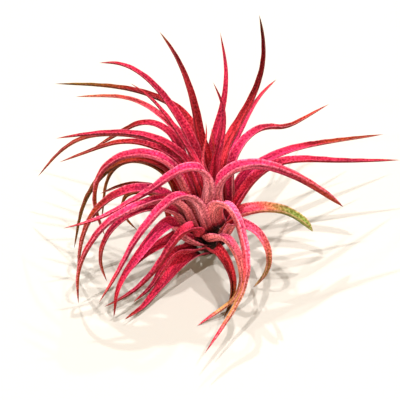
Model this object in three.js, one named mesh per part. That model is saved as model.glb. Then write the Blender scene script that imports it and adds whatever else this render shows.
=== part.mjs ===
// An air plant: a rosette of narrow, channelled leaves round one short stem, resting on a flat
// surface on the stem's foot and on the tips of its lowest leaves. Millimetres, +Z up. The origin is
// the centre of the stem's foot, on the surface. -Y is the front and +X is the right.
import * as THREE from 'three'

// Driving dimensions of the stem.
const FOOT_RADIUS = 2.4
const STEM_WAIST_RADIUS = 4.6
const STEM_WAIST_HEIGHT = 7
const STEM_TOP_RADIUS = 1.8
const STEM_TOP_HEIGHT = 19
const STEM_SIDES = 20

// Driving dimensions that all leaves share.
const SEAT_GAP = 0.5
const LEAF_THICKNESS = 0.9
const CHANNEL_DEPTH = 0.22
const FLANK_REACH = 0.6
const FLANK_THICKNESS_SHARE = 0.85
const RINGS = 24
const BASE_WIDTH_SHARE = 0.7
const FULL_WIDTH_AT = 0.15
const TIP_WIDTH_SHARE = 0.1
const BLUNT_WIDTH_SHARE = 0.5
const TAPER_POWER = 1.25
const TURNED_AT = 0.35
const TIP_THICKNESS_SHARE = 0.7

// How the blades press each other apart.
const SAMPLE_STEP = 1.1
const BALL_SPACING = 1.7
const EDGE_BALL_REACH = 0.33
const EDGE_BALL_LIFT = 0.4
const SPREAD_ROUNDS = 12
const PRESS_PASSES = 300
const LEAN_SHARE = 0.5
const HELD_POINTS = 8
const HELD_PASSES = 200
const SEAT_HOLD = 0.07

const COLOURS = {
  rose: '#d8325f',
  pink: '#e8497f',
  wine: '#8a1626',
  olive: '#8c8a45',
  base: '#c98a80'
}

// A leaf runs from its seat on the stem through its stations to its tip. A seat is [azimuth, height].
// A station is [out, up, side]: millimetres from the stem's axis along the leaf's own azimuth, above
// the surface, and to the left of its way out. The width is the blade's widest place. A blunt leaf
// has lost its thin end.
const LEAVES = {
  leaf_front_left_1: {
    seat: [248, 17.5], azimuth: 206, width: 5.2, colour: 'pink',
    stations: [
      [4.4, 24, 2.8], [4, 32, 3.8], [3.8, 40, 4.2], [4.8, 46.4, 4.2], [8, 48.8, 3.4],
      [14, 45.6, 1.4], [25, 38], [38, 34, -1], [52, 32, -4.5]
    ]
  },
  leaf_front_left_2: {
    seat: [202, 14], azimuth: 209, width: 4.6, colour: 'pink',
    stations: [
      [6.5, 24.6], [10, 29.4, -0.4], [14.5, 32.4, -1], [24, 36.2, -1.4],
      [36, 35.2, -0.8], [45, 28.2], [51, 17], [53, 0.4]
    ]
  },
  leaf_front_left_3: {
    seat: [208, 12], azimuth: 207, width: 4.4, colour: 'pink',
    stations: [[9, 23], [15, 28.4], [26, 33.6], [35, 31], [40, 25], [42.5, 15], [41, 4]]
  },
  leaf_front_left_4: {
    seat: [252, 15], azimuth: 217, width: 5.2, colour: 'pink',
    stations: [
      [7.3, 22.6, 2], [7.9, 28, 2.2], [9.3, 34, 2.3], [12, 37.6, 1.6], [16, 38, 1],
      [23, 33.6, 0.6], [31, 25.3], [41, 13], [48, 5.5]
    ]
  },
  leaf_front_left_5: {
    seat: [206, 9.5], azimuth: 222, width: 5.6, colour: 'pink',
    stations: [[9, 18.5, -3.2], [16, 25, -2.4], [25, 27, -0.5], [34, 22], [42, 13], [46, 0.3]]
  },
  leaf_front_left_6: {
    seat: [214, 8], azimuth: 214, width: 5.2, colour: 'wine',
    stations: [[9, 15], [17, 16], [26, 15.5], [34, 11], [40, 5]]
  },
  leaf_front_left_7: {
    seat: [262, 10.5], azimuth: 221, width: 5.2, colour: 'rose',
    stations: [
      [6, 18, 3.7], [7, 23, 4.4], [9, 26, 4.2], [12, 25, 3.4], [17, 20.5, 2.6],
      [21, 16.5, 2.4], [26, 11, 2], [35, 4.3], [47, 4]
    ]
  },
  leaf_front_left_8: {
    seat: [242, 8], azimuth: 227, width: 5.0, colour: 'rose',
    stations: [[7.5, 12.6, 0.6], [11, 14.4], [16, 13.4, -0.4], [24, 9.5], [31, 4.5], [38, 2.2]]
  },
  leaf_front_left_9: {
    seat: [232, 6], azimuth: 229, width: 6.0, colour: 'rose',
    stations: [[8.5, 9], [14, 6.4], [21, 4], [32, 1.7], [45, 2.6]]
  },
  leaf_left_1: {
    seat: [184, 11.5], azimuth: 186, width: 4.0, colour: 'pink',
    stations: [[9, 24.6], [14, 31], [21, 35.4], [29, 37], [38, 33.4]]
  },
  leaf_left_2: {
    seat: [193, 13], azimuth: 196, width: 4.6, colour: 'pink',
    stations: [[9, 26], [14, 31.5], [22, 37.3], [31, 38.6], [40, 32.3], [46, 20], [50, 0.6]]
  },
  leaf_left_3: {
    seat: [182, 10], azimuth: 184, width: 3.2, colour: 'olive',
    stations: [[10, 20], [17, 28.5], [24, 32.2], [29.5, 31], [31, 26], [30, 19], [26, 12.4]]
  },
  leaf_left_4: {
    seat: [188, 14.8], azimuth: 189, width: 5.2, colour: 'pink',
    stations: [[8.6, 36.6, 0.4], [14, 47, 0.4], [23, 51.4], [31, 50.5], [37, 44.3], [40, 32], [38, 14]]
  },
  leaf_left_5: {
    seat: [180, 15], azimuth: 180, width: 4.2, colour: 'wine',
    stations: [[9, 33.8], [15, 42.2], [24, 46.2], [31, 44], [39, 35], [45, 23.5], [51, 0.4]]
  },
  leaf_left_6: {
    seat: [172, 13.5], azimuth: 174, width: 3.2, colour: 'olive',
    stations: [[11, 31], [18, 40], [26, 43], [32, 40], [36.5, 32], [38.5, 22], [40, 12.5]]
  },
  leaf_left_7: {
    seat: [170, 17.5], azimuth: 169, width: 4.6, colour: 'rose',
    stations: [[7.6, 39.6, 0.4], [13, 48], [20, 51.3], [30, 52.1], [43, 49.5], [54, 46]]
  },
  leaf_left_8: {
    seat: [176, 16.5], azimuth: 179, width: 4.0, colour: 'rose',
    stations: [[8, 37.4, -1], [14, 46.8, -1], [22, 52.3], [30, 52.8], [38, 49.6], [51, 43.5]]
  },
  leaf_left_9: {
    seat: [162, 14.5], azimuth: 164, width: 3.6, colour: 'olive',
    stations: [[8, 35], [14, 45], [22, 50], [33, 48.8], [45, 45], [56, 35.4], [67, 20.4]]
  },
  leaf_left_10: {
    seat: [153, 15], azimuth: 159, width: 4.2, colour: 'rose',
    stations: [[8.3, 38.6, -1], [11.5, 48.2, -1], [17, 55], [24, 54.6], [32, 48], [42, 39], [47, 34]]
  },
  leaf_back_left_1: {
    seat: [156, 18.5], azimuth: 158, width: 3.4, colour: 'wine',
    stations: [[5, 35, 0.2], [9, 49, 0.6], [15, 58.9, 0.4], [22, 66], [28, 69]]
  },
  leaf_back_left_2: {
    seat: [128, 16.5], azimuth: 144, width: 5.0, colour: 'rose',
    stations: [[5.6, 33, -1.4], [9.4, 47.8, -1.2], [16, 59.2], [25, 67], [36, 69], [47, 65]]
  },
  leaf_back_left_3: {
    seat: [146, 15], azimuth: 147, width: 4.0, colour: 'rose',
    stations: [[8, 38], [14, 50.3], [22, 56.5], [33, 57.2], [48, 52], [58, 47.7]]
  },
  leaf_back_left_4: {
    seat: [112, 14], azimuth: 140, width: 4.2, colour: 'wine',
    stations: [[7, 32, -4], [14, 44, -8.8], [21, 49, -9.8], [37, 52, -6], [54, 50.5], [70, 47, 6]]
  },
  leaf_back_left_5: {
    seat: [106, 18], azimuth: 112, width: 4.8, colour: 'wine',
    stations: [[5, 29], [8.6, 43.6], [14, 55.3], [22, 63], [33, 66.5], [48, 66.6]]
  },
  leaf_back_left_6: {
    seat: [116, 16.5], azimuth: 107, width: 2.8, colour: 'wine',
    stations: [[8, 31], [13, 42.5], [20, 54.5]]
  },
  leaf_back_1: {
    seat: [110, 19], azimuth: 97, width: 2.4, colour: 'rose',
    stations: [[2.8, 30], [6.1, 40, 0.5], [9, 46.5], [11.3, 53, 0.5]]
  },
  leaf_back_2: {
    seat: [80, 18.5], azimuth: 88, width: 2.4, colour: 'rose',
    stations: [[3.5, 31, 1], [6, 40, 0.7], [9, 52, 0.4]]
  },
  leaf_back_3: {
    seat: [76, 17.5], azimuth: 80, width: 4.6, colour: 'rose',
    stations: [
      [3, 28], [2.2, 38], [3.7, 46, -1.8],
      [6.6, 52.5, -2.9], [11, 58.5, -2.5], [17.2, 64.5, 2.3]
    ]
  },
  leaf_back_4: {
    seat: [84, 14.5], azimuth: 85, width: 4.8, colour: 'rose',
    stations: [[7.5, 32, 1], [13.5, 44, -0.6], [20, 53.5, -3], [27, 62, -3.3], [39, 70]]
  },
  leaf_back_5: {
    seat: [66, 12], azimuth: 63, width: 4.2, colour: 'rose',
    stations: [[9, 33.5], [17, 36.6], [25, 39.6], [34, 43.2], [43, 44], [57, 41.5]]
  },
  leaf_back_6: {
    seat: [50, 16], azimuth: 60, width: 5.0, colour: 'wine',
    stations: [
      [3.5, 33], [6, 39], [12, 43], [19, 45.3], [28, 49],
      [36, 55.5], [38, 63], [35, 75], [31, 84]
    ]
  },
  leaf_right_1: {
    seat: [28, 12.5], azimuth: 38, width: 4.8, colour: 'pink',
    stations: [[6, 33, -1], [11.5, 43.4], [19, 48], [26, 46.3], [34, 41.5], [47, 41.8], [56, 42.2]]
  },
  leaf_right_2: {
    seat: [32, 10.5], azimuth: 28, width: 4.6, colour: 'rose',
    stations: [[7.5, 24.4], [13, 30.2], [20, 34.6], [31, 36.2], [46, 33.8], [76, 26.6]]
  },
  leaf_right_3: {
    seat: [12, 13.5], azimuth: 12, width: 4.6, colour: 'rose',
    stations: [[9, 25.6], [14, 31.4], [20, 37.4], [28, 39.4], [48, 35.6], [70, 32.3]]
  },
  leaf_right_4: {
    seat: [322, 16], azimuth: 3, width: 6.0, colour: 'pink', blunt: true,
    stations: [
      [1.6, 28.5, -4.2], [2.1, 33.6, -3.9], [3.4, 38.5, -3.2], [6, 41.4, -2.2],
      [11, 42.2, -1], [18, 41.3], [30, 35], [48, 20.4]
    ]
  },
  leaf_right_5: {
    seat: [340, 8.5], azimuth: 350, width: 6.4, colour: 'olive', blunt: true,
    stations: [[7, 17], [13, 22], [20, 24.8], [27, 24.6], [33, 20.8], [37, 17]]
  },
  leaf_front_1: {
    seat: [285, 17], azimuth: 280, width: 5.2, colour: 'pink',
    stations: [
      [6, 22, -0.8], [6.7, 27.5, -1], [7.6, 32, 0], [9.6, 35, 2.2], [13, 33, 5],
      [21.5, 28, 6.3], [29.5, 22, 6.5], [36, 16.7, 3], [42, 12, -3], [50.5, 9, -11]
    ]
  },
  leaf_front_2: {
    seat: [275, 11], azimuth: 280, width: 4.8, colour: 'pink',
    stations: [
      [6, 13, -1.8], [7.4, 16.6, -1.6], [9.6, 19, 0.6], [13, 19.6, 2.8], [20, 17, 5.7],
      [26, 12, 6], [29, 7.5, 3.5], [30.5, 3, -3], [33.5, 0.2, -10.6]
    ]
  },
  leaf_front_3: {
    seat: [272, 8], azimuth: 280, width: 5.6, colour: 'wine',
    stations: [
      [6.8, 12, -3], [9.4, 13.2, -1.4], [14, 12, 1],
      [20.7, 7, 3.8], [27.8, 2.8, 2], [32, 0.2, -1]
    ]
  },
  leaf_front_4: {
    seat: [316, 9], azimuth: 310, width: 4.6, colour: 'rose',
    stations: [[9, 20.5, 2], [16, 26.2], [23, 30], [28, 27.5], [30, 20], [28, 10], [24, 0.4]]
  },
  leaf_back_low_1: {
    seat: [122, 8.5], azimuth: 118, width: 3.8, colour: 'wine',
    stations: [[9, 15], [16, 16.5], [22, 9], [25, 0.3]]
  },
  leaf_back_low_2: {
    seat: [64, 8.5], azimuth: 66, width: 3.8, colour: 'wine',
    stations: [[9, 15], [15, 16.5], [21, 9], [24, 0.3]]
  }
}

/** A closed solid of revolution for the stem, flat at its foot. */
function stemGeometry() {
  const profile = [
    [0, 0],
    [FOOT_RADIUS, 0],
    [STEM_WAIST_RADIUS, STEM_WAIST_HEIGHT],
    [STEM_TOP_RADIUS, STEM_TOP_HEIGHT],
    [0, STEM_TOP_HEIGHT]
  ].map(([radius, height]) => new THREE.Vector2(radius, height))
  return new THREE.LatheGeometry(profile, STEM_SIDES).rotateX(Math.PI / 2)
}

/** The stem's radius at a height above its waist. */
function stemRadius(height) {
  const share = (height - STEM_WAIST_HEIGHT) / (STEM_TOP_HEIGHT - STEM_WAIST_HEIGHT)
  return THREE.MathUtils.lerp(STEM_WAIST_RADIUS, STEM_TOP_RADIUS, share)
}

/** The horizontal unit vector at an azimuth in degrees. */
function heading(azimuth) {
  const angle = THREE.MathUtils.degToRad(azimuth)
  return new THREE.Vector3(Math.cos(angle), Math.sin(angle), 0)
}

/** The leaf's centre line from its seat to its tip. */
function centreLine({ seat, azimuth, stations }) {
  const [seatAzimuth, seatHeight] = seat
  const start = heading(seatAzimuth).multiplyScalar(stemRadius(seatHeight) + SEAT_GAP)
  start.z = seatHeight
  const out = heading(azimuth)
  const left = heading(azimuth + 90)
  const points = stations.map(([reach, height, side = 0]) => {
    const point = out.clone().multiplyScalar(reach).addScaledVector(left, side)
    point.z = height
    return point
  })
  return new THREE.CatmullRomCurve3([start, ...points], false, 'centripetal')
}

/** The share of a leaf's full width at a place from 0, the seat, to 1, the tip. */
function widthShare(leaf, place) {
  if (place < FULL_WIDTH_AT) {
    const grown = THREE.MathUtils.smoothstep(place, 0, FULL_WIDTH_AT)
    return THREE.MathUtils.lerp(BASE_WIDTH_SHARE, 1, grown)
  }
  const along = (place - FULL_WIDTH_AT) / (1 - FULL_WIDTH_AT)
  const end = leaf.blunt ? BLUNT_WIDTH_SHARE : TIP_WIDTH_SHARE
  return THREE.MathUtils.lerp(1, end, along ** TAPER_POWER)
}

/** The blade's cross-section: a crescent, open upwards, as [across, up] points. */
function section(width, thickness) {
  const half = width / 2
  const lift = width * CHANNEL_DEPTH
  const flank = half * FLANK_REACH
  const underFlank = lift * FLANK_REACH ** 2 - thickness * FLANK_THICKNESS_SHARE
  return [
    [-half, lift],
    [-flank, underFlank],
    [0, -thickness],
    [flank, underFlank],
    [half, lift],
    [0, 0]
  ]
}

/** A blade ready to be shaped: points about a step apart along its centre line, seat first. */
function blade(name, leaf) {
  const line = centreLine(leaf)
  const count = Math.round(line.getLength() / SAMPLE_STEP)
  return { name, leaf, points: line.getSpacedPoints(count) }
}

/**
 * The blade's directions at each of its points: ahead, across and above. At its seat a blade faces
 * the stem, and further on it turns as little as can be.
 */
function directions({ leaf, points }) {
  const atSeat = heading(leaf.seat[0] - 90)
  const carried = heading(leaf.azimuth - 90)
  const last = points.length - 1
  return points.map((point, index) => {
    const before = points[Math.max(index - 1, 0)]
    const after = points[Math.min(index + 1, last)]
    const ahead = after.clone().sub(before).normalize()
    carried.addScaledVector(ahead, -carried.dot(ahead)).normalize()
    const turned = THREE.MathUtils.smoothstep(index / last, 0, TURNED_AT)
    const across = atSeat.clone().lerp(carried, turned)
    across.addScaledVector(ahead, -across.dot(ahead)).normalize()
    return { ahead, across, above: new THREE.Vector3().crossVectors(across, ahead) }
  })
}

/** Three balls side by side at each point of a blade stand in for it while blades press apart. */
function ballsOf(bladeIndex, { leaf, points }, turns) {
  const last = points.length - 1
  return points.flatMap((point, index) => {
    const width = leaf.width * widthShare(leaf, index / last)
    return [-1, 0, 1].map((side) => {
      const lift = side === 0 ? -LEAF_THICKNESS / 2 : width * CHANNEL_DEPTH * EDGE_BALL_LIFT
      const centre = point.clone()
        .addScaledVector(turns[index].across, side * width * EDGE_BALL_REACH)
        .addScaledVector(turns[index].above, lift)
      return { bladeIndex, index, centre }
    })
  })
}

/** Each two balls of different blades that are closer than they may be, with the way between them. */
function closeBalls(balls) {
  const cells = new Map()
  const cellOf = (value) => Math.floor(value / BALL_SPACING)
  const touches = []
  for (const ball of balls) {
    const [x, y, z] = ball.centre.toArray().map(cellOf)
    for (const key of neighbourCells(x, y, z)) {
      for (const other of cells.get(key) ?? []) {
        const away = ball.centre.clone().sub(other.centre)
        const gap = BALL_SPACING - away.length()
        if (other.bladeIndex !== ball.bladeIndex && gap > 0) {
          touches.push({ ball, other, gap, away: away.normalize() })
        }
      }
    }
    const key = [x, y, z].join()
    cells.set(key, [...(cells.get(key) ?? []), ball])
  }
  return touches
}

/** Adds to the leans: each new pair of touching blades leans off each other one way, for good. */
function addLeans(leans, touches) {
  const fresh = new Map()
  for (const { ball, other, gap, away } of touches) {
    const key = pairKey(ball, other)
    if (!leans.has(key)) {
      const lean = fresh.get(key) ?? new THREE.Vector3()
      fresh.set(key, lean.addScaledVector(away, gap))
    }
  }
  for (const [key, lean] of fresh) {
    leans.set(key, lean.normalize())
  }
}

/** The name of a pair of blades, from a ball of each. */
function pairKey(ball, other) {
  return [ball.bladeIndex, other.bladeIndex].join()
}

/** The keys of the 27 grid cells round a cell. */
function neighbourCells(x, y, z) {
  const near = [-1, 0, 1]
  return near.flatMap((i) => near.flatMap((j) => near.map((k) => [x + i, y + j, z + k].join())))
}

/** Spreads each push along its blade, so that the blade bends and does not kink. */
function spread(pushes) {
  let soft = pushes
  for (let round = 0; round < SPREAD_ROUNDS; round += 1) {
    soft = soft.map((push, index) => {
      const before = soft[Math.max(index - 1, 0)]
      const after = soft[Math.min(index + 1, soft.length - 1)]
      return before.clone().add(push).add(after).divideScalar(3)
    })
  }
  return soft
}

/**
 * Bends blades that would cross clear of each other and of the stem, as growing leaves press apart.
 * The seats hold their blades by their first points, less and less with each pass.
 */
function pressApart(blades) {
  const leans = new Map()
  const homes = blades.map(({ points }) => points.slice(0, HELD_POINTS).map((point) => point.clone()))
  for (let pass = 0; pass < PRESS_PASSES; pass += 1) {
    const pushes = blades.map(({ points }) => points.map(() => new THREE.Vector3()))
    const balls = blades.flatMap((item, index) => ballsOf(index, item, directions(item)))
    const touches = closeBalls(balls)
    addLeans(leans, touches)
    const hold = SEAT_HOLD * Math.max(1 - pass / HELD_PASSES, 0)
    for (const { ball, other, gap, away } of touches) {
      const push = away.lerp(leans.get(pairKey(ball, other)), LEAN_SHARE).multiplyScalar(gap / 2)
      pushes[ball.bladeIndex][ball.index].add(push)
      pushes[other.bladeIndex][other.index].sub(push)
    }
    for (const { bladeIndex, index, centre } of balls) {
      const outward = new THREE.Vector3(centre.x, centre.y, 0)
      const depth = stemRadius(centre.z) + BALL_SPACING / 2 - outward.length()
      if (depth > 0 && centre.z < STEM_TOP_HEIGHT) {
        pushes[bladeIndex][index].addScaledVector(outward.normalize(), depth)
      }
    }
    blades.forEach(({ points }, index) => {
      const soft = spread(pushes[index])
      points.forEach((point, at) => point.add(soft[at]))
      homes[index].forEach((home, at) => {
        points[at].lerp(home, hold * (1 - at / HELD_POINTS))
      })
    })
  }
}

/** One leaf: its cross-section carried along its points, closed to a point at the tip. */
function leafGeometry({ leaf, points }) {
  const line = new THREE.CatmullRomCurve3(points, false, 'centripetal')
  const rings = Array.from({ length: RINGS + 1 }, (_, ring) => line.getPoint(ring / RINGS))
  const turns = directions({ leaf, points: rings })
  const positions = []
  for (let ring = 0; ring < RINGS; ring += 1) {
    const place = ring / RINGS
    const { across, above } = turns[ring]
    const thickness = LEAF_THICKNESS * THREE.MathUtils.lerp(1, TIP_THICKNESS_SHARE, place)
    for (const [sideways, up] of section(leaf.width * widthShare(leaf, place), thickness)) {
      const point = rings[ring].clone().addScaledVector(across, sideways).addScaledVector(above, up)
      positions.push(...point.toArray())
    }
  }
  positions.push(...rings[RINGS].toArray())
  const indices = []
  const sides = section(1, 1).length
  for (let ring = 0; ring < RINGS - 1; ring += 1) {
    for (let side = 0; side < sides; side += 1) {
      const a = ring * sides + side
      const b = ring * sides + ((side + 1) % sides)
      indices.push(a, b + sides, b, a, a + sides, b + sides)
    }
  }
  const lastRing = (RINGS - 1) * sides
  const tip = RINGS * sides
  for (let side = 0; side < sides; side += 1) {
    indices.push(lastRing + side, tip, lastRing + ((side + 1) % sides))
  }
  const channel = sides - 1
  for (let side = 0; side < channel - 1; side += 1) {
    indices.push(channel, side, side + 1)
  }
  const geometry = new THREE.BufferGeometry()
  geometry.setAttribute('position', new THREE.Float32BufferAttribute(positions, 3))
  geometry.setIndex(indices)
  geometry.computeVertexNormals()
  return geometry
}

/** A named piece with its own finish. */
function piece(name, geometry, colour) {
  const finish = new THREE.MeshStandardMaterial({ color: colour, roughness: 0.75, metalness: 0 })
  const mesh = new THREE.Mesh(geometry, finish)
  mesh.name = name
  return mesh
}

const plant = new THREE.Group()
plant.add(piece('stem', stemGeometry(), COLOURS.base))
const blades = Object.entries(LEAVES).map(([name, leaf]) => blade(name, leaf))
pressApart(blades)
for (const item of blades) {
  plant.add(piece(item.name, leafGeometry(item), COLOURS[item.leaf.colour]))
}

export default plant
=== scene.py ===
"""An air plant on a white surface: blushed, channelled leaves in a rosette round a short stem.

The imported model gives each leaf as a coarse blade. Each leaf here is grown anew along that same
blade, with a finer cross-section, rounded margins, ribs and silver hairs, and takes one of the
plant's finishes.
"""

import logging
import math
import random
from dataclasses import dataclass, field
from enum import Enum
from typing import ClassVar

import bmesh
import bpy
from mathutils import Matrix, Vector

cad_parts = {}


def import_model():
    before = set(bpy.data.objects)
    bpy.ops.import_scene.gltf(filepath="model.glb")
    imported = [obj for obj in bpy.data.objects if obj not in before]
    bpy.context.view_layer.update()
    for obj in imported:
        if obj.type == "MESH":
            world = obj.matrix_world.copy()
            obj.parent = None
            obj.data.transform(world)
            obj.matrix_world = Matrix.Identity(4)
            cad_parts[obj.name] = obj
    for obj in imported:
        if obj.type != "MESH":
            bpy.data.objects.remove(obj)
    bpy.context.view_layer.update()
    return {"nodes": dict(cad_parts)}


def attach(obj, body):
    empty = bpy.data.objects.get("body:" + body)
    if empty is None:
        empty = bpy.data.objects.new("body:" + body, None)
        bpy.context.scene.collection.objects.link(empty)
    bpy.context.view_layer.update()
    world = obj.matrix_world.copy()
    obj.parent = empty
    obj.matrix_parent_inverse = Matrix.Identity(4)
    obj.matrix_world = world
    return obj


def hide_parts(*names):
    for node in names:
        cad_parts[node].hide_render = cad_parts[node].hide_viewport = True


LOG = logging.getLogger("air_plant")

MM = 0.001

# A leaf's solid has six rails of points from its seat to its tip, here in order round its section.
RAILS = 6
EDGE_LOW, FLANK_LOW, KEEL, FLANK_HIGH, EDGE_HIGH, CHANNEL = range(RAILS)


def linear(hex_colour: str) -> tuple[float, float, float, float]:
    """Turns an sRGB hex colour into linear light.

    Args:
        hex_colour: the colour as "#rrggbb".

    Returns:
        Red, green, blue and full alpha.
    """
    parts = [int(hex_colour[at : at + 2], 16) / 255 for at in (1, 3, 5)]
    red, green, blue = (
        part / 12.92 if part <= 0.04045 else ((part + 0.055) / 1.055) ** 2.4 for part in parts
    )
    return red, green, blue, 1.0


def held(value: float) -> float:
    """Returns the value, held between 0 and 1."""
    return min(max(value, 0.0), 1.0)


def add_node(
    tree: bpy.types.NodeTree,
    kind: str,
    settings: dict[str, object] | None = None,
    values: dict[str | int, object] | None = None,
    links: dict[str | int, bpy.types.NodeSocket] | None = None,
) -> bpy.types.Node:
    """Adds one node with its settings, its constant inputs and its links.

    Args:
        tree: the node tree that gets the node.
        kind: the node's type name.
        settings: attribute name to value.
        values: input name or index to constant value.
        links: input name or index to the socket that feeds it.

    Returns:
        The new node.
    """
    node = tree.nodes.new(kind)
    for name, value in (settings or {}).items():
        setattr(node, name, value)
    for key, value in (values or {}).items():
        node.inputs[key].default_value = value
    for key, socket in (links or {}).items():
        tree.links.new(socket, node.inputs[key])
    return node


def set_ramp(node: bpy.types.Node, stops: tuple[tuple[float, str], ...]) -> None:
    """Gives a colour ramp node its stops.

    Args:
        node: the colour ramp node.
        stops: place from 0 to 1, and hex colour.
    """
    ramp = node.color_ramp
    while len(ramp.elements) > len(stops):
        ramp.elements.remove(ramp.elements[-1])
    while len(ramp.elements) < len(stops):
        ramp.elements.new(1.0)
    for element, (place, colour) in zip(ramp.elements, stops):
        element.position = place
        element.color = linear(colour)


def new_finish(
    name: str,
) -> tuple[bpy.types.Material, bpy.types.NodeTree, dict[str, bpy.types.NodeSocket]]:
    """Starts a finish.

    Args:
        name: the material's name.

    Returns:
        The material, its node tree and its shader's inputs.
    """
    material = bpy.data.materials.new(name)
    material.use_nodes = True
    tree = material.node_tree
    return material, tree, tree.nodes["Principled BSDF"].inputs


def new_piece(name: str, mesh: bmesh.types.BMesh) -> bpy.types.Object:
    """Turns a mesh in the making into an object in the scene.

    Args:
        name: the object's name.
        mesh: the mesh, which is freed.

    Returns:
        The object.
    """
    piece = bpy.data.objects.new(name, bpy.data.meshes.new(name))
    mesh.to_mesh(piece.data)
    mesh.free()
    bpy.context.scene.collection.objects.link(piece)
    return piece


class Face(Enum):
    """The two faces of a blade, as the number that its points carry for the finish."""

    UPPER = 1.0
    UNDER = 0.0


# The numbers that each point of a leaf carries for the finish: where it lies along and across the
# blade, on which face, how deep in the groove between two ribs, how far its blush has gone, and its
# place on the flattened leaf in metres.
CARRIED = ("place", "across", "face", "ribs", "dryness", "span", "along")


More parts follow.
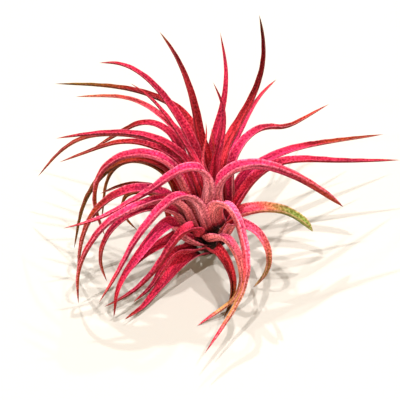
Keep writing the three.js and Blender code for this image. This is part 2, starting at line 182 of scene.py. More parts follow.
@dataclass(frozen=True)
class LeafSkin:
    """Living leaf skin under silver scale hairs, coloured by the plant's red blush.

    The blush runs from a seat painted near-black, as painted shade of the rosette's heart, through
    a vivid blade to a darker, greener or dry tip. Down the middle of each face the blade is painted
    darker, as painted shade in its channel. The dead hairs scatter light, so the skin looks matt
    and grained along the leaf; its margins are painted paler, as painted highlight.
    """

    name: str
    slot: str
    upper: tuple[tuple[float, str], ...]
    under: tuple[tuple[float, str], ...]
    dry: str = "#984A22"
    # The margin colour is a painted highlight along the leaf's edges.
    margin_highlight: str = "#FF86A0"
    streak: str = "#900014"
    frost: str = "#FFD9DF"
    streak_share: float = 0.45
    grain_share: float = 0.85
    frost_share: float = 0.03
    # The blush is never even: blotches, and fine streaks along the leaf, in millimetres.
    blotch_mm: float = 9.0
    tone_wide_mm: float = 0.6
    tone_long_mm: float = 12.0
    tone_least: float = 0.46
    tone_most: float = 1.24
    tone_saturation: float = 1.08
    # The middle of the blade is painted darker on both faces, as painted shade along its channel,
    # and the painted shade fades out towards this reach.
    painted_shade_middle: float = 0.72
    painted_shade_flank: float = 1.05
    painted_shade_reach: float = 0.7
    # The painted highlight on the margins starts at this reach and reaches at most this share.
    painted_highlight_from: float = 0.84
    painted_highlight_most: float = 0.55
    # Real scales are 0.1 to 0.2 mm wide and stand in rows. The grain that they make is drawn
    # coarser, so that it shows.
    grain_wide_mm: float = 0.42
    grain_long_mm: float = 0.75
    grain_depth_mm: float = 0.12
    scatter_mm: tuple[float, float, float] = (1.0, 0.3, 0.25)

    def build(self) -> bpy.types.Material:
        """Builds the finish.

        Returns:
            The material.
        """
        material, tree, shader = new_finish(self.name)
        carried = {
            name: add_node(tree, "ShaderNodeAttribute", {"attribute_name": name}).outputs["Fac"]
            for name in CARRIED
        }
        reach = add_node(
            tree, "ShaderNodeMath", {"operation": "ABSOLUTE"}, links={0: carried["across"]}
        ).outputs[0]
        on_leaf = add_node(
            tree, "ShaderNodeCombineXYZ", links={"X": carried["span"], "Y": carried["along"]}
        ).outputs[0]
        skin = self._blush(tree, carried)
        skin = self._uneven(tree, skin, reach, on_leaf)
        # The margins are painted in the margin colour, mostly paler than the blade: a painted
        # highlight along each edge.
        rim_highlight = add_node(
            tree,
            "ShaderNodeMapRange",
            values={
                "From Min": self.painted_highlight_from,
                "From Max": 1.0,
                "To Min": 0.0,
                "To Max": self.painted_highlight_most,
            },
            links={"Value": reach},
        ).outputs["Result"]
        skin = add_node(
            tree,
            "ShaderNodeMix",
            {"data_type": "RGBA"},
            {7: linear(self.margin_highlight)},
            {"Factor": rim_highlight, 6: skin},
        ).outputs[2]
        skin, relief = self._grained(tree, skin, on_leaf)
        tree.links.new(skin, shader["Base Color"])
        tree.links.new(relief, shader["Normal"])
        shader["Roughness"].default_value = 0.6
        shader["IOR"].default_value = 1.42
        shader["Specular IOR Level"].default_value = 0.06
        shader["Sheen Weight"].default_value = self.frost_share
        shader["Sheen Roughness"].default_value = 0.45
        shader["Sheen Tint"].default_value = linear(self.frost)
        shader["Subsurface Weight"].default_value = 0.06
        shader["Subsurface Radius"].default_value = tuple(part * MM for part in self.scatter_mm)
        shader["Subsurface Scale"].default_value = 1.0
        return material

    def _blush(
        self, tree: bpy.types.NodeTree, carried: dict[str, bpy.types.NodeSocket]
    ) -> bpy.types.NodeSocket:
        """Colours the two faces from seat to tip, with their streaks and their dry end.

        Args:
            tree: the node tree.
            carried: the numbers that the leaf's points carry.

        Returns:
            The colour.
        """
        upper = add_node(tree, "ShaderNodeValToRGB", links={"Fac": carried["place"]})
        set_ramp(upper, self.upper)
        under = add_node(tree, "ShaderNodeValToRGB", links={"Fac": carried["place"]})
        set_ramp(under, self.under)
        skin = add_node(
            tree,
            "ShaderNodeMix",
            {"data_type": "RGBA"},
            links={
                "Factor": carried["face"],
                6: under.outputs["Color"],
                7: upper.outputs["Color"],
            },
        ).outputs[2]
        # Darker streaks between the ribs. Real ribs lie 0.2 mm apart and would not show, so they
        # are drawn about 1 mm apart.
        streak = add_node(
            tree,
            "ShaderNodeMath",
            {"operation": "MULTIPLY"},
            {1: self.streak_share},
            {0: carried["ribs"]},
        ).outputs[0]
        # Towards its end, and down its outer margin, a leaf loses its blush and turns dry or green.
        for colour, share in ((self.streak, streak), (self.dry, carried["dryness"])):
            skin = add_node(
                tree,
                "ShaderNodeMix",
                {"data_type": "RGBA"},
                {7: linear(colour)},
                {"Factor": share, 6: skin},
            ).outputs[2]
        return skin

    def _uneven(
        self,
        tree: bpy.types.NodeTree,
        skin: bpy.types.NodeSocket,
        reach: bpy.types.NodeSocket,
        on_leaf: bpy.types.NodeSocket,
    ) -> bpy.types.NodeSocket:
        """Makes the blush uneven: blotches and fine streaks, and painted shade down the middle.

        Args:
            tree: the node tree.
            skin: the even colour.
            reach: 0 at the middle of the blade, 1 at its margins.
            on_leaf: the place on the flattened leaf.

        Returns:
            The colour.
        """
        where = add_node(tree, "ShaderNodeTexCoord").outputs["Object"]
        blotch = add_node(
            tree,
            "ShaderNodeTexNoise",
            values={"Scale": 1 / (self.blotch_mm * MM), "Detail": 0.0},
            links={"Vector": where},
        ).outputs["Fac"]
        stretched = add_node(
            tree,
            "ShaderNodeVectorMath",
            {"operation": "MULTIPLY"},
            {1: (1 / (self.tone_wide_mm * MM), 1 / (self.tone_long_mm * MM), 0.0)},
            {0: on_leaf},
        ).outputs[0]
        lengthwise = add_node(
            tree,
            "ShaderNodeTexNoise",
            {"noise_dimensions": "2D"},
            {"Scale": 1.0, "Detail": 1.0},
            {"Vector": stretched},
        ).outputs["Fac"]
        # The streaks count twice as much as the blotches.
        both = add_node(
            tree,
            "ShaderNodeMath",
            {"operation": "MULTIPLY_ADD"},
            {1: 2.0},
            {0: lengthwise, 2: blotch},
        ).outputs[0]
        tone = add_node(
            tree,
            "ShaderNodeMapRange",
            values={
                "From Min": 1.0,
                "From Max": 2.0,
                "To Min": self.tone_least,
                "To Max": self.tone_most,
            },
            links={"Value": both},
        ).outputs["Result"]
        # Painted shade: the middle of each face, where the channel lies, is darkened.
        depth = add_node(
            tree,
            "ShaderNodeMapRange",
            values={
                "From Min": 0.0,
                "From Max": self.painted_shade_reach,
                "To Min": self.painted_shade_middle,
                "To Max": self.painted_shade_flank,
            },
            links={"Value": reach},
        ).outputs["Result"]
        tone_with_painted_shade = add_node(
            tree, "ShaderNodeMath", {"operation": "MULTIPLY"}, links={0: tone, 1: depth}
        ).outputs[0]
        return add_node(
            tree,
            "ShaderNodeHueSaturation",
            values={"Saturation": self.tone_saturation},
            links={"Value": tone_with_painted_shade, "Color": skin},
        ).outputs["Color"]

    def _grained(
        self,
        tree: bpy.types.NodeTree,
        skin: bpy.types.NodeSocket,
        on_leaf: bpy.types.NodeSocket,
    ) -> tuple[bpy.types.NodeSocket, bpy.types.NodeSocket]:
        """Adds the grain of the scale hairs, which stand in rows along the leaf.

        Args:
            tree: the node tree.
            skin: the colour without grain.
            on_leaf: the place on the flattened leaf.

        Returns:
            The colour and the normal.
        """
        rows = add_node(
            tree,
            "ShaderNodeVectorMath",
            {"operation": "MULTIPLY"},
            {1: (1 / (self.grain_wide_mm * MM), 1 / (self.grain_long_mm * MM), 0.0)},
            {0: on_leaf},
        ).outputs[0]
        scales = add_node(
            tree,
            "ShaderNodeTexNoise",
            {"noise_dimensions": "2D"},
            {"Scale": 1.0, "Detail": 3.0, "Roughness": 0.65},
            {"Vector": rows},
        ).outputs["Fac"]
        speck = add_node(
            tree,
            "ShaderNodeMapRange",
            values={"From Min": 0.3, "From Max": 0.7, "To Min": 0.0, "To Max": 1.0},
            links={"Value": scales},
        ).outputs["Result"]
        # A scale is paler and duller than the skin, and the gap between scales darker and richer.
        pale, dark = (
            add_node(
                tree,
                "ShaderNodeHueSaturation",
                values={"Saturation": saturation, "Value": value},
                links={"Color": skin},
            ).outputs["Color"]
            for saturation, value in ((0.93, 1.36), (1.3, 0.28))
        )
        grain = add_node(
            tree,
            "ShaderNodeMix",
            {"data_type": "RGBA"},
            links={"Factor": speck, 6: dark, 7: pale},
        ).outputs[2]
        skin = add_node(
            tree,
            "ShaderNodeMix",
            {"data_type": "RGBA"},
            {"Factor": self.grain_share},
            {6: skin, 7: grain},
        ).outputs[2]
        relief = add_node(
            tree,
            "ShaderNodeBump",
            values={"Strength": 0.6, "Distance": self.grain_depth_mm * MM},
            links={"Height": speck},
        ).outputs["Normal"]
        return skin, relief


@dataclass(frozen=True)
class ScaleHair:
    """Silver scale hairs: dead, air-filled cells that scatter light, so they look pale and chalky.

    They are nearly clear and let the blush through, so their white is tinted pink.
    """

    name: str = "silver_scale_hair"
    colour: str = "#E098A8"
    patch_mm: float = 2.0

    def build(self) -> bpy.types.Material:
        """Builds the finish.

        Returns:
            The material.
        """
        material, tree, shader = new_finish(self.name)
        where = add_node(tree, "ShaderNodeTexCoord").outputs["Object"]
        shade = add_node(
            tree,
            "ShaderNodeTexNoise",
            values={"Scale": 1 / (self.patch_mm * MM)},
            links={"Vector": where},
        ).outputs["Fac"]
        tone = add_node(
            tree,
            "ShaderNodeMapRange",
            values={"From Min": 0.3, "From Max": 0.7, "To Min": 0.55, "To Max": 1.0},
            links={"Value": shade},
        ).outputs["Result"]
        colour = add_node(
            tree,
            "ShaderNodeHueSaturation",
            values={"Color": linear(self.colour)},
            links={"Value": tone},
        ).outputs["Color"]
        tree.links.new(colour, shader["Base Color"])
        shader["Roughness"].default_value = 0.8
        shader["Specular IOR Level"].default_value = 0.1
        return material


@dataclass(frozen=True)
class StemBark:
    """The stem's corky skin: old leaf scars in dark rose brown.

    Both its colours are painted darker than its own, nearly black, as painted shade of the
    rosette's heart.
    """

    name: str = "corky_stem_skin_with_painted_shade"
    # Both colours are the stem's own dark rose brown, deepened to near black as painted shade.
    dark: str = "#1E0A08"
    light: str = "#5A3024"
    # Broad dark and light rings lie about 8 mm apart, and the cork is cracked more finely. The leaf
    # scars themselves are in the stem's shape.
    ring_mm: float = 7.9
    cork_mm: float = 1.5
    relief_mm: float = 0.4

    def build(self) -> bpy.types.Material:
        """Builds the finish.

        Returns:
            The material.
        """
        material, tree, shader = new_finish(self.name)
        where = add_node(tree, "ShaderNodeTexCoord").outputs["Object"]
        # A wave texture of scale 1 has a band every 2 pi / 20 metres.
        rings = add_node(
            tree,
            "ShaderNodeTexWave",
            {"bands_direction": "Z"},
            {"Scale": math.pi / 10 / (self.ring_mm * MM), "Distortion": 3.0, "Detail": 2.0},
            {"Vector": where},
        ).outputs["Fac"]
        cork = add_node(
            tree,
            "ShaderNodeTexNoise",
            values={"Scale": 1 / (self.cork_mm * MM), "Detail": 6.0},
            links={"Vector": where},
        ).outputs["Fac"]
        both = add_node(
            tree, "ShaderNodeMath", {"operation": "MULTIPLY"}, links={0: rings, 1: cork}
        ).outputs[0]
        colour = add_node(
            tree,
            "ShaderNodeMix",
            {"data_type": "RGBA"},
            {6: linear(self.dark), 7: linear(self.light)},
            {"Factor": both},
        ).outputs[2]
        tree.links.new(colour, shader["Base Color"])
        relief = add_node(
            tree,
            "ShaderNodeBump",
            values={"Strength": 0.8, "Distance": self.relief_mm * MM},
            links={"Height": both},
        ).outputs["Normal"]
        tree.links.new(relief, shader["Normal"])
        shader["Roughness"].default_value = 0.85
        shader["Specular IOR Level"].default_value = 0.2
        return material


@dataclass(frozen=True)
class MattBoard:
    """Matt paper board with a hint of tooth.

    The photograph's surface is overexposed. The board is a light warm grey that the strong light
    turns white, so that where leaves hold off one lamp it stays white, and where they hold off
    more it looks beige.
    """

    name: str = "matt_white_board"
    colour: str = "#A8A49E"
    tooth_mm: float = 1.0
    relief_mm: float = 0.05

    def build(self) -> bpy.types.Material:
        """Builds the finish.

        Returns:
            The material.
        """
        material, tree, shader = new_finish(self.name)
        shader["Base Color"].default_value = linear(self.colour)
        shader["Roughness"].default_value = 0.75
        shader["Specular IOR Level"].default_value = 0.2
        where = add_node(tree, "ShaderNodeTexCoord").outputs["Object"]
        tooth = add_node(
            tree,
            "ShaderNodeTexNoise",
            values={"Scale": 1 / (self.tooth_mm * MM), "Detail": 3.0},
            links={"Vector": where},
        ).outputs["Fac"]
        relief = add_node(
            tree,
            "ShaderNodeBump",
            values={"Strength": 0.1, "Distance": self.relief_mm * MM},
            links={"Height": tooth},
        ).outputs["Normal"]
        tree.links.new(relief, shader["Normal"])
        return material


# The parts of a leaf that hide in the heart of the rosette get little light: their near-black is
# painted shade, not the leaf's own colour.
HEART_PAINTED_SHADE = ((0.0, "#140002"), (0.035, "#3C0A12"), (0.07, "#C84458"))
SALMON_UNDER = (*HEART_PAINTED_SHADE, (0.08, "#F47C8A"), (0.25, "#FFA2AE"), (0.6, "#F05082"), (1.0, "#B82030"))
RED_UNDER = (*HEART_PAINTED_SHADE, (0.1, "#E04456"), (0.4, "#D01838"), (0.7, "#A80020"), (1.0, "#740008"))


class Blush(Enum):
    """The finishes that leaves of this plant take."""

    # A leaf in full blush and full light: vivid pink above, salmon below.
    HOT_PINK = LeafSkin(
        "hot_pink_blushed_leaf",
        "pink_leaf",
        (
            *HEART_PAINTED_SHADE,
            (0.08, "#F85078"),
            (0.2, "#FF3C7C"),
            (0.6, "#FF2A6C"),
            (0.9, "#F81C54"),
            (1.0, "#D82040"),
        ),
        SALMON_UNDER,
    )
    # A deeper, redder blush, with margins that stay red.
    CRIMSON = LeafSkin(
        "crimson_blushed_leaf",
        "rose_leaf",
        (
            *HEART_PAINTED_SHADE,
            (0.08, "#F03058"),
            (0.25, "#F00C50"),
            (0.55, "#EC0852"),
            (0.85, "#C80040"),
            (1.0, "#A80C30"),
        ),
        RED_UNDER,
        margin_highlight="#E84C74",
    )
    # The deepest blush, dark wine red, on thin leaves that turn olive as they dry.
    WINE = LeafSkin(
        "wine_blushed_leaf",
        "wine_leaf",
        (
            *HEART_PAINTED_SHADE,
            (0.08, "#F03C54"),
            (0.3, "#EC0C34"),
            (0.5, "#C0041C"),
            (0.7, "#90000C"),
            (1.0, "#74000A"),
        ),
        (*HEART_PAINTED_SHADE, (0.1, "#D03C48"), (0.3, "#C41028"), (0.6, "#880008"), (1.0, "#560000")),
        dry="#705A10",
        margin_highlight="#981C34",
        streak="#4A0000",
    )
    # A thin blush that lets the silver skin through, so it looks salmon. It dries to straw.
    SALMON = LeafSkin(
        "salmon_blushed_leaf",
        "pink_leaf",
        (
            *HEART_PAINTED_SHADE,
            (0.08, "#FF6C88"),
            (0.25, "#FF6C98"),
            (0.55, "#FF7088"),
            (0.8, "#E85C5C"),
            (1.0, "#DC5C60"),
        ),
        (*HEART_PAINTED_SHADE, (0.08, "#F07880"), (0.25, "#FF989A"), (0.6, "#F45464"), (1.0, "#C83C44")),
        dry="#B4985C",
        streak="#C01C3C",
        streak_share=0.2,
    )
    # A thin, half-dry leaf: brown shows through its red, which makes it look bronze.
    BRONZE = LeafSkin(
        "bronze_thin_leaf",
        "olive_leaf",
        (*HEART_PAINTED_SHADE, (0.12, "#D82840"), (0.3, "#C02428"), (0.55, "#9C3410"), (1.0, "#8A2010")),
        (*HEART_PAINTED_SHADE, (0.12, "#C83440"), (0.35, "#A42C18"), (0.6, "#885008"), (1.0, "#7A2008")),
        dry="#8A5008",
        margin_highlight="#C86A30",
        streak="#5A0404",
    )
    # A pale blushed leaf whose end has kept its green.
    GREEN_END = LeafSkin(
        "pink_leaf_with_green_end",
        "olive_leaf",
        (*HEART_PAINTED_SHADE, (0.08, "#FF648C"), (0.2, "#FF6C98"), (0.45, "#FF7484"), (1.0, "#F08870")),
        (*HEART_PAINTED_SHADE, (0.08, "#F06C7C"), (0.3, "#F47078"), (1.0, "#E08858")),
        dry="#A8B86A",
        margin_highlight="#FFA090",
        streak="#C01840",
        streak_share=0.5,
    )


@dataclass(frozen=True)
class LeafPlan:
    """What one leaf takes besides its blade: its finish, its dry or green end, and its width.

    Places run from 0 at the seat to 1 at the tip. The leaf starts to lose its blush at dry_from and
    has lost dry_most of it at dry_full. Past dry_to, if that is on the leaf, the blush comes back.
    Near its tip the leaf is slimmer than its blade by slimness. Its seat is wider by clasp, which
    fades out up to clasp_end. On its margins the blush goes sooner, by margin_lead.
    """

    blush: Blush
    dry_from: float = 0.9
    dry_full: float = 1.1
    dry_most: float = 1.0
    dry_to: float = 2.0
    slimness: float = 0.2
    clasp: float = 0.6
    clasp_end: float = 0.18
    margin_lead: float = 0.06
    dry_fade: float = 0.08

    def dryness(self, place: float, reach: float) -> float:
        """Finds how far the blush has left a place on the leaf.

        Args:
            place: 0 at the seat, 1 at the tip.
            reach: -1 at one margin, 1 at the other.

        Returns:
            0 where the blush is full, 1 where it is gone.
        """
        start = place + self.margin_lead * abs(reach) - self.dry_from
        share = held(start / (self.dry_full - self.dry_from))
        back = held((self.dry_to - place) / self.dry_fade)
        return share * back * self.dry_most


LEAF_PLANS: dict[str, LeafPlan] = {
    "leaf_front_left_1": LeafPlan(Blush.HOT_PINK, clasp=1.0, clasp_end=0.3),
    "leaf_front_left_2": LeafPlan(Blush.HOT_PINK, 0.5, 0.85, 0.8),
    "leaf_front_left_3": LeafPlan(Blush.HOT_PINK, 0.62, 0.85, 0.85),
    "leaf_front_left_4": LeafPlan(Blush.HOT_PINK, 0.82, 1.0, 0.7),
    "leaf_front_left_5": LeafPlan(Blush.HOT_PINK, 0.72, 1.0, 0.7),
    "leaf_front_left_6": LeafPlan(Blush.CRIMSON, 0.6, 0.9, 0.6),
    "leaf_front_left_7": LeafPlan(Blush.CRIMSON, 0.85, 1.0, 0.8),
    "leaf_front_left_8": LeafPlan(Blush.CRIMSON, clasp=1.0, clasp_end=0.3),
    "leaf_front_left_9": LeafPlan(Blush.CRIMSON, 0.8, 1.0, 0.7),
    "leaf_left_1": LeafPlan(Blush.HOT_PINK, 0.6, 0.8, 0.9),
    "leaf_left_2": LeafPlan(Blush.HOT_PINK, 0.42, 0.65, 0.85),
    "leaf_left_3": LeafPlan(Blush.BRONZE, 0.5, 0.8, 0.7),
    "leaf_left_4": LeafPlan(Blush.HOT_PINK, 0.5, 0.8, 0.8),
    "leaf_left_5": LeafPlan(Blush.WINE, 0.35, 0.6, 0.6),
    "leaf_left_6": LeafPlan(Blush.BRONZE, 0.3, 0.6, 0.8),
    "leaf_left_7": LeafPlan(Blush.CRIMSON),
    "leaf_left_8": LeafPlan(Blush.CRIMSON, 0.5, 0.85, 0.9),
    "leaf_left_9": LeafPlan(Blush.CRIMSON, 0.35, 0.7, 0.9),
    "leaf_left_10": LeafPlan(Blush.CRIMSON, 0.6, 0.8, 0.95),
    "leaf_back_left_1": LeafPlan(Blush.CRIMSON),
    "leaf_back_left_2": LeafPlan(Blush.CRIMSON),
    "leaf_back_left_3": LeafPlan(Blush.SALMON, 0.6, 1.0, 0.6, slimness=0.35),
    "leaf_back_left_4": LeafPlan(Blush.WINE, 0.7, 0.92, 1.0),
    "leaf_back_left_5": LeafPlan(Blush.WINE),
    "leaf_back_left_6": LeafPlan(Blush.WINE),
    "leaf_back_1": LeafPlan(Blush.SALMON),
    "leaf_back_2": LeafPlan(Blush.SALMON),
    "leaf_back_3": LeafPlan(Blush.CRIMSON),
    "leaf_back_4": LeafPlan(Blush.CRIMSON),
    "leaf_back_5": LeafPlan(Blush.HOT_PINK, 0.5, 0.9, 0.4),
    "leaf_back_6": LeafPlan(Blush.WINE),
    "leaf_right_1": LeafPlan(Blush.HOT_PINK, 0.5, 0.8, 0.75),
    "leaf_right_2": LeafPlan(Blush.HOT_PINK, 0.5, 0.75, 0.9),
    "leaf_right_3": LeafPlan(Blush.CRIMSON),
    "leaf_right_4": LeafPlan(Blush.HOT_PINK, 0.5, 0.9, 0.7, slimness=0.1, clasp=0.9, clasp_end=0.3),
    "leaf_right_5": LeafPlan(Blush.GREEN_END, 0.52, 0.78, 1.0, slimness=0.3),
    "leaf_front_1": LeafPlan(
        Blush.SALMON, 0.62, 0.76, 0.7, 0.88, slimness=0.3, clasp=1.1, clasp_end=0.35
    ),
    "leaf_front_2": LeafPlan(Blush.SALMON, 0.3, 0.8, 0.8, 0.9, clasp=1.1, clasp_end=0.35),
    "leaf_front_3": LeafPlan(Blush.WINE, 0.65, 0.85, 0.6),
    "leaf_front_4": LeafPlan(Blush.SALMON, 0.5, 0.8, 0.95),
    "leaf_back_low_1": LeafPlan(Blush.WINE),
    "leaf_back_low_2": LeafPlan(Blush.WINE),
}


@dataclass
class Blade:
    """A leaf's coarse blade: six rails of points from its seat to its tip."""

    rails: list[list[Vector]]
    # A ring some way up from the seat, where the blade is wide and its edges are easy to tell.
    WIDE_RING: ClassVar[int] = 4
    # Points are told apart by the micrometre, which is this many steps to a metre.
    WELD_STEPS: ClassVar[float] = 1e6

    @classmethod
    def from_node(cls, node: bpy.types.Object) -> "Blade":
        """Reads the rails off a leaf's solid.

        Args:
            node: the leaf's object in the frame.

        Returns:
            The blade.
        """
        points, near = cls._welded(node.data)
        rings = cls._rings(near)
        ordered = [cls._ring_order(rings[cls.WIDE_RING], near, points)]
        for ring in rings[cls.WIDE_RING + 1 : -1]:
            ordered.append(cls._matched(ordered[-1], cls._cycle(ring, near), points))
        for ring in rings[cls.WIDE_RING - 1 :: -1]:
            ordered.insert(0, cls._matched(ordered[0], cls._cycle(ring, near), points))
        tip = points[rings[-1][0]]
        rails = [[points[ring[rail]] for ring in ordered] + [tip] for rail in range(RAILS)]
        return cls([cls._eased(rail) for rail in rails])

    @staticmethod
    def _eased(rail: list[Vector], passes: int = 3) -> list[Vector]:
        """Takes the corners out of a rail.

        Args:
            rail: the rail's points.
            passes: how many times each point moves half way to the middle of its neighbours.

        Returns:
            The rail with the same ends.
        """
        for _ in range(passes):
            inner = [(a + 2 * b + c) / 4 for a, b, c in zip(rail, rail[1:], rail[2:])]
            rail = [rail[0], *inner, rail[-1]]
        return rail

    @classmethod
    def _welded(cls, mesh: bpy.types.Mesh) -> tuple[list[Vector], list[set[int]]]:
        """Joins points in one place.

        Args:
            mesh: the mesh.

        Returns:
            The points, and each point's neighbours.
        """
        numbers: dict[tuple[int, int, int], int] = {}
        points: list[Vector] = []
        owner: list[int] = []
        for vertex in mesh.vertices:
            key = tuple(round(part * cls.WELD_STEPS) for part in vertex.co)
            if key not in numbers:
                numbers[key] = len(points)
                points.append(vertex.co.copy())
            owner.append(numbers[key])
        near: list[set[int]] = [set() for _ in points]
        for edge in mesh.edges:
            first, second = (owner[index] for index in edge.vertices)
            if first != second:
                near[first].add(second)
                near[second].add(first)
        return points, near

    @staticmethod
    def _rings(near: list[set[int]]) -> list[list[int]]:
        """Sorts the points into rings, by counting steps from the tip.

        Args:
            near: each point's neighbours.

        Returns:
            The rings from the seat on, and last the tip alone.
        """
        for start in range(len(near)):
            levels, seen = [[start]], {start}
            while True:
                level = sorted({n for index in levels[-1] for n in near[index]} - seen)
                if len(level) != RAILS:
                    break
                levels.append(level)
                seen.update(level)
            if len(seen) == len(near):
                return levels[::-1]
        raise ValueError("the leaf's solid has no tip")

    @staticmethod
    def _cycle(ring: list[int], near: list[set[int]]) -> list[int]:
        """Puts a ring's points in order round the section.

        Args:
            ring: the ring's points.
            near: each point's neighbours.

        Returns:
            The same points, in order.
        """
        members = set(ring)
        start = min(ring, key=lambda index: len(near[index] & members))
        order = [start]
        while len(order) < len(ring):
            onward = (near[order[-1]] & members) - set(order)
            order.append(min(onward, key=lambda index: len(near[index] & members)))
        return order

    @classmethod
    def _ring_order(cls, ring: list[int], near: list[set[int]], points: list[Vector]) -> list[int]:
        """Finds which point of a wide ring is which.

        Args:
            ring: the ring's points.
            near: each point's neighbours.
            points: all points.

        Returns:
            The ring's points, from the low edge round to the channel.
        """
        cycle = cls._cycle(ring, near)
        turns = [cycle[at:] + cycle[:at] for at in range(RAILS)]

        def width(turn: list[int]) -> float:
            """Returns how far apart the two edges are."""
            return (points[turn[EDGE_LOW]] - points[turn[EDGE_HIGH]]).length

        return max(turns, key=width)

    @staticmethod
    def _matched(last: list[int], cycle: list[int], points: list[Vector]) -> list[int]:
        """Turns a ring so that its points go on from those of the ring before.

        Args:
            last: the ring before, from the low edge round to the channel.
            cycle: this ring's points in order.
            points: all points.

        Returns:
            This ring, from the low edge round to the channel.
        """

        def centred(ring: list[int]) -> list[Vector]:
            """Returns a ring's points as seen from its middle."""
            middle = sum((points[index] for index in ring), Vector()) / len(ring)
            return [points[index] - middle for index in ring]

        before = centred(last)
        turns = [way[at:] + way[:at] for way in (cycle, cycle[::-1]) for at in range(RAILS)]
        return min(
            turns,
            key=lambda turn: sum((a - b).length_squared for a, b in zip(before, centred(turn))),
        )

    def at(self, place: float) -> list[Vector]:
        """Finds the six rail points at a place, on a smooth curve through each rail's points.

        Args:
            place: 0 at the seat, 1 at the tip.

        Returns:
            One point for each rail.
        """
        last = len(self.rails[0]) - 1
        along = held(place) * last
        index = min(int(along), last - 1)
        share = along - index
        found = []
        for rail in self.rails:
            a, b, c, d = (rail[min(max(index + step, 0), last)] for step in (-1, 0, 1, 2))
            found.append(
                0.5
                * (
                    2 * b
                    + (c - a) * share
                    + (2 * a - 5 * b + 4 * c - d) * share**2
                    + (3 * b - a - 3 * c + d) * share**3
                )
            )
        return found

    def length(self) -> float:
        """Returns the length of the channel's line, in metres."""
        line = self.rails[CHANNEL]
        return sum((b - a).length for a, b in zip(line, line[1:]))


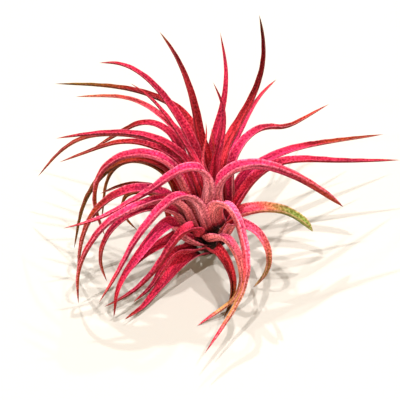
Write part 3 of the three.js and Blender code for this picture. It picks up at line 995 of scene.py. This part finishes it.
@dataclass
class Leaf:
    """One leaf: a thin channelled blade with rounded margins, ribs and scale hairs.

    Its channel is channel_share times as deep as the solid's, and the blade thickness_share times
    as thick. The ripple and the ribs fade out over the last tip_share of the leaf. A hair points to
    the tip, give or take hair_turn in radians, and leans over by hair_lean for each 1 it rises.
    """

    name: str
    plan: LeafPlan
    stations: int = 92
    upper_points: int = 13
    under_points: int = 9
    rib_count: float = 3.0
    rib_height_mm: float = 0.05
    ripple_mm: float = 0.07
    edge_power: float = 0.5
    thickness_share: float = 0.7
    channel_share: float = 2.2
    slim_from: float = 0.3
    slim_reach: float = 0.4
    ripples_per_mm: float = 0.9
    ripple_chance: float = 0.6
    tip_share: float = 0.25
    hairs_per_mm2: float = 0.7
    hair_length_mm: float = 0.32
    hair_width_mm: float = 0.09
    hair_root_mm: float = 0.04
    hair_turn: float = 0.9
    hair_lean: float = 0.8
    hair_sizes: tuple[float, float] = (0.6, 1.15)

    def grow(
        self,
        node: bpy.types.Object,
        finishes: dict[Blush, bpy.types.Material],
        hair: bpy.types.Material,
    ) -> bpy.types.Object:
        """Builds the leaf's mesh and dresses it.

        Args:
            node: the leaf's solid in the frame.
            finishes: the finish of each blush.
            hair: the hairs' finish.

        Returns:
            The leaf.
        """
        chance = random.Random(self.name)
        blade = Blade.from_node(node)
        mesh = bmesh.new()
        layers = {key: mesh.verts.layers.float.new(key) for key in CARRIED}
        places = [at / self.stations for at in range(self.stations)]
        rings = [self._ring(mesh, layers, blade, place, chance) for place in places]
        self._skin(mesh, layers, rings, blade)
        self._hairs(mesh, layers, chance)
        piece = new_piece(f"{self.name}_grown", mesh)
        piece.data.materials.append(finishes[self.plan.blush])
        piece.data.materials.append(hair)
        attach(piece, "root")
        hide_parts(self.name)
        return piece

    def _ring(
        self,
        mesh: bmesh.types.BMesh,
        layers: dict[str, bmesh.types.BMLayerItem],
        blade: Blade,
        place: float,
        chance: random.Random,
    ) -> list[bmesh.types.BMVert]:
        """Draws one cross-section.

        Args:
            mesh: the mesh that gets the points.
            layers: the numbers that each point carries.
            blade: the leaf's rails.
            place: 0 at the seat, 1 at the tip.
            chance: the leaf's random numbers.

        Returns:
            The section's points, round from the low edge over the upper face and back below.
        """
        rail = blade.at(place)
        # The seat of a leaf clasps the stem and its neighbours, so it is wider than the blade.
        clasp = 1 + self.plan.clasp * held(1 - place / self.plan.clasp_end) ** 2
        # Towards its tip a leaf curls in across its width, which makes it look slimmer.
        slim = 1 - self.plan.slimness * held((place - self.slim_from) / self.slim_reach)
        half = (rail[EDGE_HIGH] - rail[EDGE_LOW]) / 2 * clasp * slim
        middle = (rail[EDGE_HIGH] + rail[EDGE_LOW]) / 2
        depth = (middle - rail[CHANNEL]) * self.channel_share
        below = (rail[KEEL] - rail[CHANNEL]) * self.thickness_share
        up = -below.normalized()
        length_mm = blade.length() / MM
        turn = place * length_mm * self.ripples_per_mm + chance.random() * self.ripple_chance
        ripple = self.ripple_mm * MM * math.sin(turn)
        relief = min(1.0, (1 - place) / self.tip_share)
        ring = []
        last = self.upper_points - 1
        upper = [-math.cos(math.pi * at / last) for at in range(last + 1)]
        last = self.under_points + 1
        under = [math.cos(math.pi * at / last) for at in range(1, last)]
        for face, reaches in ((Face.UPPER, upper), (Face.UNDER, under)):
            for reach in reaches:
                rib = 0.5 - 0.5 * math.cos(2 * math.pi * self.rib_count * reach)
                groove = up * self.rib_height_mm * MM * rib * relief * (1 - reach**2)
                point = rail[CHANNEL] + half * reach + depth * reach**2
                point += up * ripple * reach**2 * relief
                if face is Face.UNDER:
                    point += below * (1 - reach**2) ** self.edge_power
                    point += groove
                else:
                    point -= groove
                vert = mesh.verts.new(point)
                carried = (
                    place,
                    reach,
                    face.value,
                    rib,
                    self.plan.dryness(place, reach),
                    half.length * reach,
                    place * length_mm * MM,
                )
                for key, number in zip(CARRIED, carried):
                    vert[layers[key]] = number
                ring.append(vert)
        return ring

    def _skin(
        self,
        mesh: bmesh.types.BMesh,
        layers: dict[str, bmesh.types.BMLayerItem],
        rings: list[list[bmesh.types.BMVert]],
        blade: Blade,
    ) -> None:
        """Joins the cross-sections into one closed skin.

        Args:
            mesh: the mesh that gets the faces.
            layers: the numbers that each point carries.
            rings: the cross-sections, seat first.
            blade: the leaf's rails, for its tip.
        """
        count = len(rings[0])
        for low, high in zip(rings, rings[1:]):
            for at in range(count):
                onward = (at + 1) % count
                mesh.faces.new((low[at], low[onward], high[onward], high[at])).smooth = True
        tip = mesh.verts.new(blade.rails[CHANNEL][-1])
        tip[layers["place"]] = 1.0
        tip[layers["face"]] = Face.UPPER.value
        tip[layers["dryness"]] = self.plan.dryness(1.0, 0.0)
        for at in range(count):
            mesh.faces.new((rings[-1][at], rings[-1][(at + 1) % count], tip)).smooth = True
        mesh.faces.new(rings[0][::-1])
        bmesh.ops.recalc_face_normals(mesh, faces=mesh.faces)

    def _hairs(
        self,
        mesh: bmesh.types.BMesh,
        layers: dict[str, bmesh.types.BMLayerItem],
        chance: random.Random,
    ) -> None:
        """Plants scale hairs: slim closed spikes that lie half down on the skin.

        Args:
            mesh: the leaf's mesh, skinned.
            layers: the numbers that each point carries.
            chance: the leaf's random numbers.
        """
        mesh.normal_update()
        length, width = self.hair_length_mm * MM, self.hair_width_mm * MM
        for face in list(mesh.faces):
            corners = [vert.co.copy() for vert in face.verts]
            # The seat's cut end has more corners, and no hairs.
            if len(corners) > 4:
                continue
            wanted = face.calc_area() / MM**2 * self.hairs_per_mm2
            count = int(wanted) + (chance.random() < wanted % 1)
            normal = face.normal.copy()
            ahead = (corners[-1] - corners[0]).normalized()
            aside = normal.cross(ahead)
            for _ in range(count):
                u, v = chance.random(), chance.random()
                low = corners[0].lerp(corners[1], u)
                high = corners[-1].lerp(corners[2], u)
                root = low.lerp(high, v) - normal * self.hair_root_mm * MM
                turn = chance.uniform(-self.hair_turn, self.hair_turn)
                lean = (ahead * math.cos(turn) + aside * math.sin(turn)) * self.hair_lean
                lean = (lean + normal).normalized()
                side = lean.cross(normal).normalized() * width / 2
                rise = side.cross(lean).normalized() * width / 2
                size = chance.uniform(*self.hair_sizes)
                foot = [root + side, root - side, root + rise]
                verts = [mesh.verts.new(point) for point in (*foot, root + lean * length * size)]
                for vert in verts:
                    vert[layers["place"]] = face.verts[0][layers["place"]]
                for trio in ((0, 2, 1), (0, 1, 3), (1, 2, 3), (2, 0, 3)):
                    mesh.faces.new([verts[index] for index in trio]).material_index = 1


@dataclass
class Stem:
    """The short stem that carries the leaves, ringed by scars.

    The profile gives its radius and height, in millimetres, at the foot, the widest place and the
    top. The scars wind round the stem like the threads of a screw with scar_starts starts, and are
    cut unevenly deep.
    """

    name: str = "stem"
    rounds: int = 56
    sides: int = 64
    scar_pitch_mm: float = 1.3
    scar_depth_mm: float = 0.22
    scar_starts: int = 2
    scar_uneven: tuple[float, float] = (0.7, 1.0)
    solid_sides: int = 20
    slot: str = "stem"
    profile_mm: list[tuple[float, float]] = field(
        default_factory=lambda: [(2.4, 0.0), (4.6, 7.0), (1.8, 19.0)]
    )

    def build(self, node: bpy.types.Object, bark: bpy.types.Material) -> bpy.types.Object:
        """Builds the stem inside its solid.

        Args:
            node: the stem's solid in the frame.
            bark: its finish.

        Returns:
            The stem.
        """
        chance = random.Random(self.name)
        mesh = bmesh.new()
        rings = []
        # The solid has flat sides, and the round stem fits inside them.
        inside = math.cos(math.pi / self.solid_sides)
        for at in range(self.rounds + 1):
            height = self.profile_mm[-1][1] * at / self.rounds
            ring = []
            for side in range(self.sides):
                angle = 2 * math.pi * side / self.sides
                turns = height / self.scar_pitch_mm + side / self.sides * self.scar_starts
                wave = math.sin(2 * math.pi * turns)
                cut = self.scar_depth_mm * (0.5 + 0.5 * wave) * (0 < at < self.rounds)
                radius = self._radius(height) * inside - cut * chance.uniform(*self.scar_uneven)
                ring.append(
                    mesh.verts.new(
                        Vector((radius * math.cos(angle), radius * math.sin(angle), height)) * MM
                    )
                )
            rings.append(ring)
        for low, high in zip(rings, rings[1:]):
            for side in range(self.sides):
                onward = (side + 1) % self.sides
                mesh.faces.new((low[side], low[onward], high[onward], high[side])).smooth = True
        mesh.faces.new(rings[0][::-1])
        mesh.faces.new(rings[-1])
        bmesh.ops.recalc_face_normals(mesh, faces=mesh.faces)
        piece = new_piece("stem_scarred", mesh)
        piece.data.materials.append(bark)
        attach(piece, "root")
        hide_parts(self.name)
        return piece

    def _radius(self, height: float) -> float:
        """Returns the stem's radius at a height, both in millimetres."""
        for (low_radius, low), (high_radius, high) in zip(self.profile_mm, self.profile_mm[1:]):
            if height <= high:
                share = (height - low) / (high - low)
                return low_radius + (high_radius - low_radius) * share
        return self.profile_mm[-1][0]


@dataclass
class Rosette:
    """The whole plant: every leaf, and the stem that they stand on."""

    stem: Stem = field(default_factory=Stem)

    def build(self, nodes: dict[str, bpy.types.Object]) -> list[bpy.types.Object]:
        """Builds all pieces.

        Args:
            nodes: the frame's solids by name.

        Returns:
            The pieces.
        """
        finishes = {blush: blush.value.build() for blush in Blush}
        hair = ScaleHair().build()
        pieces = [self.stem.build(nodes["stem"], StemBark().build())]
        for name, plan in LEAF_PLANS.items():
            pieces.append(Leaf(name, plan).grow(nodes[name], finishes, hair))
        return pieces


# The brightness that all light together gives a perfectly white surface, where 1 already shows as
# white: the photograph is overexposed.
FULL_LIGHT = 3.2


@dataclass(frozen=True)
class Lamp:
    """One ceiling lamp, far enough off to cast parallel shadows."""

    name: str
    towards: tuple[float, float, float]
    share: float
    spread: float = 1.3
    colour: str = "#FDFBFA"

    def build(self) -> None:
        """Hangs the lamp. Its spread, in degrees, softens its shadows."""
        towards = Vector(self.towards)
        data = bpy.data.lights.new(self.name, "SUN")
        # Light that comes in at a slant spreads over more of the surface.
        data.energy = FULL_LIGHT * self.share * math.pi * towards.length / towards.z
        data.angle = math.radians(self.spread)
        data.color = linear(self.colour)[:3]
        lamp = bpy.data.objects.new(self.name, data)
        lamp.rotation_euler = towards.to_track_quat("Z", "Y").to_euler()
        bpy.context.scene.collection.objects.link(lamp)


# The lamps in the ceiling, each at the angle that its shadows on the surface show, with the share
# of the surface's light that it gives.
LAMPS = (
    Lamp("lamp_back_left", (-0.18, 0.71, 1.0), 0.16),
    Lamp("lamp_back_right", (0.31, 0.92, 1.0), 0.06),
    Lamp("lamp_overhead", (0.22, 0.3, 1.0), 0.21),
    Lamp("lamp_right", (0.36, -0.09, 1.0), 0.165),
    Lamp("lamp_front_left", (-0.35, -0.24, 1.0), 0.23),
    Lamp("lamp_front", (0.0, -1.1, 1.0), 0.08, 20.0, "#FFEECC"),
    Lamp("lamp_low_left", (-2.34, -1.13, 1.0), 0.02),
)


@dataclass
class Studio:
    """The white surface, the lights and the camera, at the photograph's angle.

    The surface is so wide, in metres, that its far edge lies near the horizon from any side.
    """

    floor_size: float = 40.0
    camera_mm: tuple[float, float, float] = (-3.6, -183.85, 210.35)
    look_down: float = 45.0
    lens_mm: float = 66.6
    sensor_mm: float = 36.0
    nearest_mm: float = 10.0
    sky_share: float = 0.07
    sky_colour: str = "#FFECC0"

    def build(self) -> None:
        """Builds the studio round the plant."""
        self._floor()
        self._camera()
        self._sky()
        for lamp in LAMPS:
            lamp.build()

    def _floor(self) -> None:
        """Lays the white surface at height 0."""
        mesh = bmesh.new()
        bmesh.ops.create_grid(mesh, x_segments=1, y_segments=1, size=self.floor_size / 2)
        floor = new_piece("white_surface", mesh)
        floor.data.materials.append(MattBoard().build())

    def _camera(self) -> None:
        """Places the camera, looking down on the plant from the front."""
        data = bpy.data.cameras.new("camera")
        data.lens = self.lens_mm
        data.sensor_width = self.sensor_mm
        data.clip_start = self.nearest_mm * MM
        camera = bpy.data.objects.new("camera", data)
        camera.location = Vector(self.camera_mm) * MM
        camera.rotation_euler = (math.radians(self.look_down), 0.0, 0.0)
        bpy.context.scene.collection.objects.link(camera)
        bpy.context.scene.camera = camera

    def _sky(self) -> None:
        """Fills the room with faint, even, warm light."""
        world = bpy.data.worlds.new("white_room")
        world.use_nodes = True
        back = world.node_tree.nodes["Background"]
        back.inputs["Color"].default_value = linear(self.sky_colour)
        back.inputs["Strength"].default_value = FULL_LIGHT * self.sky_share
        bpy.context.scene.world = world


def main() -> None:
    """Builds the plant and its studio."""
    logging.basicConfig(level=logging.INFO, format="%(name)s: %(message)s")
    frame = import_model()
    for piece in Rosette().build(frame["nodes"]):
        LOG.info("%s has %d faces", piece.name, len(piece.data.polygons))
    Studio().build()
    bpy.context.scene.view_settings.view_transform = "Standard"


if __name__ == "__main__":
    main()
